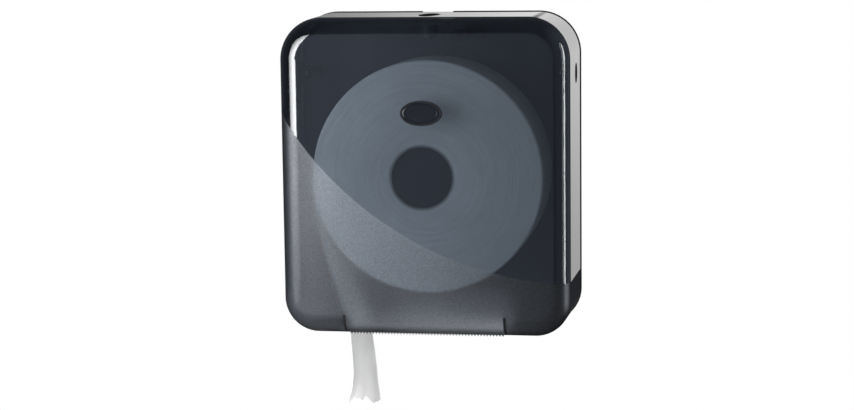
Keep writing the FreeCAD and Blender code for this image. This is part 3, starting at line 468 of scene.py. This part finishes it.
tissue = {
    "fibre": (420.0, 4.0, 0.6),
    "cloud": (22.0, 3.0),
    "cloudFrom": (0.3, 0.7),
    "darkShare": 0.94,
    "paleShare": 1.04,
    "roughness": 0.92,
    "gloss": 0.15,
}

roll = {
    "centre": (0.0019, -0.0009),   # X and Z of the roll's own middle
    "core": (-0.0045, -0.0016),    # X and Z of the core's middle
    "radius": 0.1394,
    "hole": 0.0383,
    "rear": -0.0111,
    "front": -0.1059,
    "edge": 0.0035,
    "edgeSegments": 5,
    "mouthEdge": 0.0006,
    "mouthSegments": 2,
    "segments": 192,
    "holeSegments": 96,
    "overcutShare": 1.5,
    "mergeGap": 0.00001,
    "bevelAngle": 50,              # degrees
    "smoothAngle": 40,
    # much darker than the loose sheet's paper: partly the stacked layers' own tone, partly painted shade for
    # the dim case
    "paper": (0.615, 0.615, 0.611),
}

rings = {                          # the roll's end, wound round its middle
    "drift": (9.0, 2.0),
    "driftDepth": 0.010,
    "bands": (1.0, 3.0, 0.55),
    "bandPlaces": (260.0, 1.2),    # along the radius in metres, along the angle in radians
    "layers": (1.0, 2.0, 0.5),
    "layerPlaces": (3200.0, 9.0),
    "emboss": (1.0, 3.0, 0.5),
    "embossPlaces": (300.0, 90.0),
    "bandShare": 0.7,
    "layerShare": 0.3,
    "stripeFrom": (0.35, 0.65),
    "stripeMost": 0.62,
    "stripeTone": 0.78,
    "rightShadeMost": 0.36,             # painted shade: the right half is a little darker, away from the light
    "rightShadeTone": 0.5,
    "mouthShadeDepth": 0.0022,          # painted shade: a soft dark rim round the core
    "mouthShadeMost": 0.75,
    "mouthShadeColour": (0.10, 0.10, 0.11, 1),
    "embossHeight": 0.6,
    "layerHeight": 0.5,
    "bump": (0.6, 0.0007),
}


def paperColour(tree, place, paper):
    cloud = ramp(tree, noise(tree, place, *tissue["cloud"]), *tissue["cloudFrom"])
    return mixColours(tree, cloud, toned(paper, tissue["darkShare"]), toned(paper, tissue["paleShare"]))


def paperShader(tree, colour, normal):
    return node(tree, "BsdfPrincipled", None, Base_Color=colour, Roughness=tissue["roughness"],
                Specular_IOR_Level=tissue["gloss"], Normal=normal).outputs[0]


def polarNoise(tree, reach, around, places, pattern):
    place = node(tree, "CombineXYZ", None, X=times(tree, reach, places[0]), Y=times(tree, around, places[1]))
    return noise(tree, place.outputs[0], *pattern)


def rollMaterial():
    material, tree, output = newMaterial("rollTissue")
    colour = paperColour(tree, objectCoordinates(tree), roll["paper"])
    place = objectCoordinates(tree, (roll["centre"][0], 0, roll["centre"][1]))
    split = parts(tree, place)
    reach = maths(tree, "SQRT", squaredLength(tree, split["X"], split["Z"]))
    around = maths(tree, "ARCTAN2", split["Z"], split["X"])
    drift = times(tree, noise(tree, place, *rings["drift"]), rings["driftDepth"])
    bands = polarNoise(tree, plus(tree, reach, drift), around, rings["bandPlaces"], rings["bands"])
    layers = polarNoise(tree, reach, around, rings["layerPlaces"], rings["layers"])
    emboss = polarNoise(tree, reach, around, rings["embossPlaces"], rings["emboss"])

    stripe = plus(tree, times(tree, bands, rings["bandShare"]), times(tree, layers, rings["layerShare"]))
    striped = ramp(tree, stripe, *rings["stripeFrom"], 0.0, rings["stripeMost"])
    colour = mixColours(tree, striped, colour, toned(roll["paper"], rings["stripeTone"]))
    # painted shade: a soft dark rim round the core
    away = objectCoordinates(tree, (roll["core"][0], 0, roll["core"][1]), (1, 0, 1))
    fromCore = node(tree, "VectorMath", {"operation": "LENGTH"}, Vector=away).outputs["Value"]
    mouthShade = ramp(tree, fromCore, roll["hole"], roll["hole"] + rings["mouthShadeDepth"], rings["mouthShadeMost"], 0.0)
    colour = mixColours(tree, mouthShade, colour, rings["mouthShadeColour"])
    # painted shade: darker towards the right of the roll's end
    paintedRightShade = ramp(tree, split["X"], -roll["radius"], roll["radius"], 0.0, rings["rightShadeMost"])
    colour = mixColours(tree, paintedRightShade, colour, toned(roll["paper"], rings["rightShadeTone"]))

    fine = plus(tree, times(tree, layers, rings["layerHeight"]), bands)
    height = plus(tree, times(tree, emboss, rings["embossHeight"]), fine)
    shader = paperShader(tree, colour, bumped(tree, height, *rings["bump"]))
    tree.links.new(shader, output.inputs["Surface"])
    return material


# cardboard core

board = {
    "fibre": (500.0, 4.0, 0.6),
    "fibreScale": (1, 0.3, 1),
    "dark": (0.10, 0.095, 0.09, 1),
    "pale": (0.17, 0.16, 0.15, 1),
    "cutEdge": (0.21, 0.205, 0.20, 1),
    "cutDepths": (0.0003, 0.0013),     # behind the roll's front
    "roughness": 0.85,
    "dents": (260.0, 4.0),
    "bump": (0.4, 0.0002),
}


def cardboardMaterial():
    material, tree, output = newMaterial("cardboard")
    place = objectCoordinates(tree)
    fibre = noise(tree, objectCoordinates(tree, scale=board["fibreScale"]), *board["fibre"])
    inner = mixColours(tree, fibre, board["dark"], board["pale"])
    near, far = [roll["front"] + depth for depth in board["cutDepths"]]
    cut = ramp(tree, parts(tree, place)["Y"], near, far, 1.0, 0.0)
    normal = bumped(tree, noise(tree, place, *board["dents"]), *board["bump"])
    shader = node(tree, "BsdfPrincipled", None, Base_Color=mixColours(tree, cut, inner, board["cutEdge"]),
                  Roughness=board["roughness"], Normal=normal)
    tree.links.new(shader.outputs[0], output.inputs["Surface"])
    return material


# modelling helpers

def deselectAll():
    for item in bpy.context.selected_objects:
        item.select_set(False)


def activate(piece):
    deselectAll()
    piece.select_set(True)
    bpy.context.view_layer.objects.active = piece


def named(name):
    piece = bpy.context.object
    piece.name = name
    piece.data.name = name
    return piece


def settle(piece):
    activate(piece)
    bpy.ops.object.transform_apply(location=True, rotation=True, scale=True)
    return piece


def apply(piece, kind, **settings):
    activate(piece)
    modifier = piece.modifiers.new(kind.lower(), kind)
    for name, value in settings.items():
        setattr(modifier, name, value)
    bpy.ops.object.modifier_apply(modifier=modifier.name)


def roundEdges(piece, width, segments, angle):
    apply(piece, "BEVEL", width=width, segments=segments, limit_method="ANGLE",
          angle_limit=math.radians(angle))


def merge(piece, gap):
    activate(piece)
    bpy.ops.object.mode_set(mode="EDIT")
    bpy.ops.mesh.select_all(action="SELECT")
    bpy.ops.mesh.remove_doubles(threshold=gap)
    bpy.ops.object.mode_set(mode="OBJECT")


def turnOutwards():
    # all the faces of the piece in edit mode, which this ends
    bpy.ops.mesh.select_all(action="SELECT")
    bpy.ops.mesh.normals_make_consistent(inside=False)
    bpy.ops.object.mode_set(mode="OBJECT")


def smooth(piece, angle):
    activate(piece)
    bpy.ops.object.shade_smooth_by_angle(angle=math.radians(angle))


def dress(piece, material):
    piece.data.materials.clear()
    piece.data.materials.append(material)


def disc(name, radius, depth, centre, vertices):
    # a round piece that lies along Y
    deselectAll()
    bpy.ops.mesh.primitive_cylinder_add(vertices=vertices, radius=radius, depth=depth, location=centre,
                                        rotation=(math.pi / 2, 0, 0))
    return settle(named(name))


# the wound roll

def makeRoll(material):
    middle = (roll["rear"] + roll["front"]) / 2
    width = roll["rear"] - roll["front"]
    centre = (roll["centre"][0], middle, roll["centre"][1])
    wound = disc("tissueRoll", roll["radius"], width, centre, roll["segments"])
    roundEdges(wound, roll["edge"], roll["edgeSegments"], roll["bevelAngle"])
    core = (roll["core"][0], middle, roll["core"][1])
    hole = disc("rollHole", roll["hole"], width * roll["overcutShare"], core, roll["holeSegments"])
    apply(wound, "BOOLEAN", object=hole, operation="DIFFERENCE", solver="EXACT")
    bpy.data.objects.remove(hole)
    merge(wound, roll["mergeGap"])
    roundEdges(wound, roll["mouthEdge"], roll["mouthSegments"], roll["bevelAngle"])
    smooth(wound, roll["smoothAngle"])
    dress(wound, material)
    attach(wound, "roll")
    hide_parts("paper_roll")


# the loose sheet, from the roll's left side through the exit to the torn end

loose = {
    # X and Z of the front edge, and how far right of it the rear edge hangs
    "frontEdge": [(-0.1381, -0.004), (-0.1376, -0.026), (-0.1320, -0.056), (-0.1247, -0.087),
                  (-0.1132, -0.1285), (-0.1015, -0.1650), (-0.0950, -0.1865), (-0.0928, -0.2120),
                  (-0.0918, -0.2380), (-0.0942, -0.2600), (-0.1010, -0.2780)],
    "rearShift": [0.0, 0.0, 0.0, 0.0005, 0.0018, 0.0032, 0.0048, 0.0066, 0.0093, 0.0145, 0.0245],
    # torn end: share of the depth, how far it hangs down
    "torn": [(0.0, 0.0015), (0.05, 0.0004), (0.12, -0.0018), (0.17, -0.0020), (0.21, -0.0052),
             (0.26, -0.0056), (0.30, -0.0036), (0.34, -0.0040), (0.39, -0.0012), (0.43, 0.0004),
             (0.475, -0.0002), (0.51, -0.0040), (0.55, -0.0048), (0.60, -0.0020), (0.65, 0.0016),
             (0.695, 0.0052), (0.73, 0.0046), (0.765, 0.0078), (0.80, 0.0048), (0.835, 0.0050),
             (0.88, 0.0044), (0.93, 0.0072), (0.945, 0.0040), (1.0, 0.0044)],
    "front": -0.1058,
    "rear": -0.0112,
    "flatLength": 0.300,
    "across": 120,
    "along": 180,
    "thickness": 0.00035,
    "tailFrom": 0.62,              # share of the length where the tail begins to spread
    "tailSlope": 0.0135,
    "freeGain": 3,                 # how soon the sheet is free of the roll
    "wave": 0.0009,
    "waveTurns": (9, 5, 4),        # radians across, along, and of its swell along the sheet
    "flutter": 0.0008,
    "flutterTurns": (17, 1.3),
    "smoothAngle": 50,
    "paper": (0.94, 0.94, 0.935),
    "dots": 520.0,                 # embossing
    "dotHeight": 0.8,
    "bump": (0.5, 0.0003),
    "throughShare": 0.20,          # light that shines through
}


def sheetMaterial():
    material, tree, output = newMaterial("sheetTissue")
    place = objectCoordinates(tree)
    colour = paperColour(tree, place, loose["paper"])
    dots = node(tree, "TexVoronoi", None, Vector=place, Scale=loose["dots"]).outputs["Distance"]
    height = plus(tree, times(tree, dots, loose["dotHeight"]), noise(tree, place, *tissue["fibre"]))
    normal = bumped(tree, height, *loose["bump"])
    through = node(tree, "BsdfTranslucent", None, Color=colour, Normal=normal).outputs[0]
    shader = mixShaders(tree, loose["throughShare"], paperShader(tree, colour, normal), through)
    tree.links.new(shader, output.inputs["Surface"])
    return material


def along(points, share):
    # a smooth line through the points, at a share of its length
    place = min(max(share, 0.0), 1.0) * (len(points) - 1)
    index = min(int(place), len(points) - 2)
    t = place - index
    before = points[max(index - 1, 0)]
    here = points[index]
    after = points[index + 1]
    last = points[min(index + 2, len(points) - 1)]
    result = []
    for a, b, c, d in zip(before, here, after, last):
        result.append(0.5 * (2 * b + (c - a) * t + (2 * a - 5 * b + 4 * c - d) * t ** 2
                             + (3 * b - a - 3 * c + d) * t ** 3))
    return result


def between(pairs, share):
    for (start, low), (end, high) in zip(pairs, pairs[1:]):
        if share <= end:
            return low + (high - low) * (share - start) / (end - start)
    return pairs[-1][1]


def sheetPoint(depth, fall):
    # depth is 0 at the front edge and 1 at the rear one, fall 0 on the roll and 1 at the torn end
    x, z = along(loose["frontEdge"], fall)
    x += along([(shift,) for shift in loose["rearShift"]], fall)[0] * depth
    late = max(0.0, (fall - loose["tailFrom"]) / (1 - loose["tailFrom"]))
    z -= late * depth * loose["tailSlope"]
    z -= late ** 3 * between(loose["torn"], depth)
    free = min(1.0, fall * loose["freeGain"])
    across, down, swell = loose["waveTurns"]
    x += free * loose["wave"] * math.sin(depth * across + fall * down) * math.sin(fall * swell)
    turns, shift = loose["flutterTurns"]
    x += late ** 2 * loose["flutter"] * math.sin(depth * turns + shift)
    return x, loose["front"] + (loose["rear"] - loose["front"]) * depth, z


def makeLooseSheet(material):
    deselectAll()
    bpy.ops.mesh.primitive_grid_add(x_subdivisions=loose["across"], y_subdivisions=loose["along"], size=1)
    piece = named("looseTissue")
    for vertex in piece.data.vertices:
        vertex.co = sheetPoint(vertex.co.x + 0.5, 0.5 - vertex.co.y)
    apply(piece, "SOLIDIFY", thickness=loose["thickness"], offset=0)
    smooth(piece, loose["smoothAngle"])
    dress(piece, material)
    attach(piece, "base")
    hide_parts("paper_web", "paper_tail")


# badge place: a bare domed oval in a rounded rim

badge = {
    "centre": (0.0, 0.0776),       # X and Z
    "width": 0.0503,
    "height": 0.0298,
    "rim": 0.0026,
    "seat": -0.1294,               # under the cover's front face
    "rimFront": -0.1312,
    "floor": -0.1303,              # inside the rim
    "domeFront": -0.1316,
    "gap": 0.0002,
    "round": 0.0007,
    "roundSegments": 5,
    "bevelAngle": 50,
    "smoothAngle": 35,
    "segments": 128,
    # share of the oval's width, share of the dome's rise: the dip is a fine ring
    "dome": [(1.0, 0.20), (0.97, 0.38), (0.90, 0.58), (0.84, 0.66), (0.83, 0.56), (0.80, 0.56), (0.79, 0.72),
             (0.60, 0.88), (0.35, 0.97), (0.12, 1.0)],
}


def flatOval(name, width, height, depth):
    # its face points to the front, and it is left in edit mode, all selected
    deselectAll()
    place = (badge["centre"][0], depth, badge["centre"][1])
    bpy.ops.mesh.primitive_circle_add(vertices=badge["segments"], radius=0.5, fill_type="NGON",
                                      rotation=(math.pi / 2, 0, 0), location=place)
    bpy.ops.transform.resize(value=(width, 1, height))
    piece = settle(named(name))
    bpy.ops.object.mode_set(mode="EDIT")
    bpy.ops.mesh.select_all(action="SELECT")
    return piece


def pull(depth):
    bpy.ops.mesh.extrude_region_move(TRANSFORM_OT_translate={"value": (0, depth, 0)})


def finishBadge(piece, cadNode, finish):
    smooth(piece, badge["smoothAngle"])
    dress(piece, finish)
    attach(piece, "cover")
    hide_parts(cadNode)


def makeBadgeRim(finish):
    rim = flatOval("badgeRim", badge["width"], badge["height"], badge["seat"])
    pull(badge["rimFront"] - badge["seat"])
    bpy.ops.mesh.inset(thickness=badge["rim"])
    pull(badge["floor"] - badge["rimFront"])
    turnOutwards()
    roundEdges(rim, badge["round"], badge["roundSegments"], badge["bevelAngle"])
    finishBadge(rim, "badge_bezel", finish)


def makeBadgeDome(finish):
    border = 2 * (badge["rim"] + badge["gap"])
    dome = flatOval("badgeDome", badge["width"] - border, badge["height"] - border, badge["floor"])
    rise = badge["domeFront"] - badge["floor"]
    wide, high = 1.0, 0.0
    for share, lift in badge["dome"]:
        pull((lift - high) * rise)
        middle = (badge["centre"][0], badge["floor"] + lift * rise, badge["centre"][1])
        bpy.ops.transform.resize(value=(share / wide, 1, share / wide), center_override=middle)
        wide, high = share, lift
    turnOutwards()
    finishBadge(dome, "badge_insert", finish)


# catch springs

spring = {
    "travel": 0.004,               # of a button
    "mergeGap": 0.000001,
    "smoothAngle": 40,
}


def makeSpring(side, pickFixed):
    # the frame's own wound wire, merged and smoothed, riding with the cover; its fixed end is picked but not
    # used
    source = frame["nodes"]["catch_spring_" + side]
    piece = source.copy()
    piece.data = source.data.copy()
    bpy.context.collection.objects.link(piece)
    piece.name = "catchSpring" + side.capitalize()
    piece.data.name = piece.name
    merge(piece, spring["mergeGap"])
    smooth(piece, spring["smoothAngle"])
    places = [vertex.co.x for vertex in piece.data.vertices]
    fixed = pickFixed(places)
    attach(piece, "cover")
    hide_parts("catch_spring_" + side)
    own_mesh(piece)


# finishes of the frame's own nodes

nodeFinishes = {
    "slots": {"black_plastic": "blackPlastic", "hub_plastic": "hubPlastic", "badge_plastic": "badgePlastic",
              "steel": "platedSteel"},
    "nodes": {"tear_bar": "barPlastic", "hub_screw": "hubPlastic", "hub_washer": "hubPlastic"},
    "coated": ("keeper", "lock_screws", "cam", "plug"),    # words in the names of dark coated parts
}


def wearMaterials():
    made = {name: mouldedMaterial(name) for name in plastics}
    made.update({name: steelMaterial(name) for name in steels})
    bySlot = {slot: made[name] for slot, name in nodeFinishes["slots"].items()}
    bySlot["smoked_plastic"] = smokedMaterial()
    bySlot["cardboard"] = cardboardMaterial()
    slots = {entry["node"]: entry["material_slot"] for entry in frame["record"]["subparts"]}
    for name, piece in frame["nodes"].items():
        finish = bySlot.get(slots[name])
        if name in nodeFinishes["nodes"]:
            finish = made[nodeFinishes["nodes"][name]]
        if any(word in name for word in nodeFinishes["coated"]):
            finish = made["coatedSteel"]
        if finish:
            dress(piece, finish)
    return made


# lamps

lamps = {
    "stripLeft": {"place": (-0.515, -0.540, 0.15), "size": (0.347, 0.60), "aim": (-0.238, -0.06, 0.15),
                  "spread": 70, "power": 1.7006, "mirrored": True},
    "stripRight": {"place": (1.25, -0.02, 0.02), "size": (0.20, 1.30), "aim": (0, -0.06, 0),
                   "spread": 180, "power": 8.1681, "mirrored": True},
    "keyLeft": {"place": (-0.66, -0.64, 0.08), "size": (0.6, 0.8), "aim": (0, -0.06, 0),
                "spread": 180, "power": 7.7, "mirrored": False},
    "tailFill": {"place": (0.45, -0.55, -0.60), "size": (0.12, 0.12), "aim": (-0.085, -0.06, -0.262),
                 "spread": 24, "power": 0.084, "mirrored": False},
}


def addLamp(name, values):
    # some lamps are only mirrored, the others only light the surfaces
    data = bpy.data.lights.new(name, "AREA")
    data.shape = "RECTANGLE"
    data.size, data.size_y = values["size"]
    data.spread = math.radians(values["spread"])
    data.energy = values["power"]
    lamp = bpy.data.objects.new(name, data)
    bpy.context.collection.objects.link(lamp)
    direction = Vector(values["aim"]) - Vector(values["place"])
    lamp.rotation_euler = direction.to_track_quat("-Z", "Y").to_euler()
    lamp.location = values["place"]
    lamp.visible_camera = False
    lamp.visible_glossy = values["mirrored"]
    if values["mirrored"]:
        lamp.visible_diffuse = False
        lamp.visible_transmission = False


# the room: pairs are limits of a direction's X, Y or Z between which a level changes

room = {
    "around": 0.22,                    # diffuse light from all sides
    "ahead": 0.72,                     # and from the camera's side
    "aheadFrom": (-0.95, -0.35),
    "colour": (0.985, 0.992, 1.0, 1),
    "seenThrough": 0.26,               # the room behind, as the smoked walls show it
    "mirrored": 0.14,                  # what polished walls mirror away from the lamps
    "mirroredAhead": 0.22,             # towards the camera
    "mirroredAheadFrom": (-0.93, -0.86),
    "mirroredLeft": 0.32,              # and more to its left
    "mirroredLeftFrom": (-0.26, -0.10),
    "mirroredBelow": 0.08,             # and low down
    "mirroredBelowFrom": (-0.20, -0.10),
    "mirroredRight": 0.16,             # towards the right wall
    "mirroredRightFrom": (0.35, 0.75),
    "mirroredColour": (0.84, 0.95, 1.20, 1),
}

backdrop = {                           # what they mirror from behind
    "level": 1.04,
    "leftLevel": 0.30,
    "leftFrom": (-0.25, -0.09),
    "rightFrom": (0.16, 0.24),
    "lowShare": 0.62,
    "lowFrom": (-0.19, -0.03),
    "topFrom": (0.088, 0.128),
    "cornerRise": 0.095,               # its top edge stands higher to the right
    "cornerFrom": (-0.10, -0.03),
    "behindFrom": (0.86, 0.92),
}


def backdropLevel(tree, split):
    side = ramp(tree, split["X"], *backdrop["leftFrom"], backdrop["leftLevel"], backdrop["level"])
    right = ramp(tree, split["X"], *backdrop["rightFrom"], 1.0, 0.0)
    low = ramp(tree, split["Z"], *backdrop["lowFrom"], backdrop["lowShare"], 1.0)
    corner = ramp(tree, split["X"], *backdrop["cornerFrom"], 0.0, backdrop["cornerRise"])
    high = ramp(tree, minus(tree, split["Z"], corner), *backdrop["topFrom"], 1.0, 0.0)
    return times(tree, side, times(tree, right, times(tree, low, high)))


def roomLevel(tree, split):
    ahead = ramp(tree, split["Y"], *room["mirroredAheadFrom"], 1.0, 0.0)
    left = ramp(tree, split["X"], *room["mirroredLeftFrom"], room["mirroredAhead"] + room["mirroredLeft"],
                room["mirroredAhead"])
    right = ramp(tree, split["X"], *room["mirroredRightFrom"], 0.0, room["mirroredRight"])
    below = ramp(tree, split["Z"], *room["mirroredBelowFrom"], room["mirroredBelow"], 0.0)
    return plus(tree, times(tree, ahead, plus(tree, left, below)), plus(tree, right, room["mirrored"]))


def addWorld():
    world = bpy.data.worlds.new("studio")
    bpy.context.scene.world = world
    world.use_nodes = True
    tree = world.node_tree
    tree.nodes.clear()
    output = tree.nodes.new("ShaderNodeOutputWorld")
    path = tree.nodes.new("ShaderNodeLightPath").outputs
    split = parts(tree, tree.nodes.new("ShaderNodeTexCoord").outputs["Generated"])

    soft = ramp(tree, split["Y"], *room["aheadFrom"], room["ahead"], room["around"])
    diffuse = node(tree, "Background", None, Color=room["colour"], Strength=soft).outputs[0]

    behind = ramp(tree, split["Y"], *backdrop["behindFrom"])
    mirrored = plus(tree, times(tree, behind, backdropLevel(tree, split)),
                    times(tree, minus(tree, 1.0, behind), roomLevel(tree, split)))
    hue = mixColours(tree, behind, room["mirroredColour"], (1, 1, 1, 1))
    glossy = node(tree, "Background", None, Color=hue, Strength=mirrored).outputs[0]

    crossed = maths(tree, "GREATER_THAN", path["Transparent Depth"], 0.5)
    through = maths(tree, "MAXIMUM", crossed, path["Is Transmission Ray"])
    level = blend(tree, through, 1.0, room["seenThrough"])
    seen = node(tree, "Background", None, Color=(1, 1, 1, 1), Strength=level).outputs[0]

    lit = mixShaders(tree, path["Is Glossy Ray"], diffuse, glossy)
    straight = maths(tree, "MAXIMUM", path["Is Camera Ray"], path["Is Transmission Ray"])
    tree.links.new(mixShaders(tree, straight, lit, seen), output.inputs["Surface"])


# floor

ground = {
    "height": -0.90,
    "radius": 2.4,
    "segments": 96,
    "colour": (0.90, 0.90, 0.90, 1),
    "glowShare": 0.8,              # of white, as the camera sees it
}


def addFloor():
    deselectAll()
    bpy.ops.mesh.primitive_circle_add(vertices=ground["segments"], radius=ground["radius"], fill_type="NGON",
                                      location=(0, 0, ground["height"]))
    floor = settle(named("floor"))
    material, tree, output = newMaterial("floorWhite")
    path = tree.nodes.new("ShaderNodeLightPath").outputs
    pale = node(tree, "BsdfDiffuse", None, Color=ground["colour"]).outputs[0]
    glow = node(tree, "Emission", None, Color=(1, 1, 1, 1), Strength=1.0).outputs[0]
    share = times(tree, path["Is Camera Ray"], ground["glowShare"])
    tree.links.new(mixShaders(tree, share, pale, glow), output.inputs["Surface"])
    dress(floor, material)


addCamera()
addWorld()
for lampName, lampValues in lamps.items():
    addLamp(lampName, lampValues)
addFloor()
print("camera, light and floor placed")

finishes = wearMaterials()
print("finishes laid on the frame's nodes")

makeRoll(rollMaterial())
makeLooseSheet(sheetMaterial())
print("paper made")
makeBadgeRim(finishes["rimPlastic"])
makeBadgeDome(finishes["badgePlastic"])
print("badge place made")
makeSpring("left", max)
makeSpring("right", min)
print("springs made")

bpy.context.scene.view_settings.view_transform = "Standard"
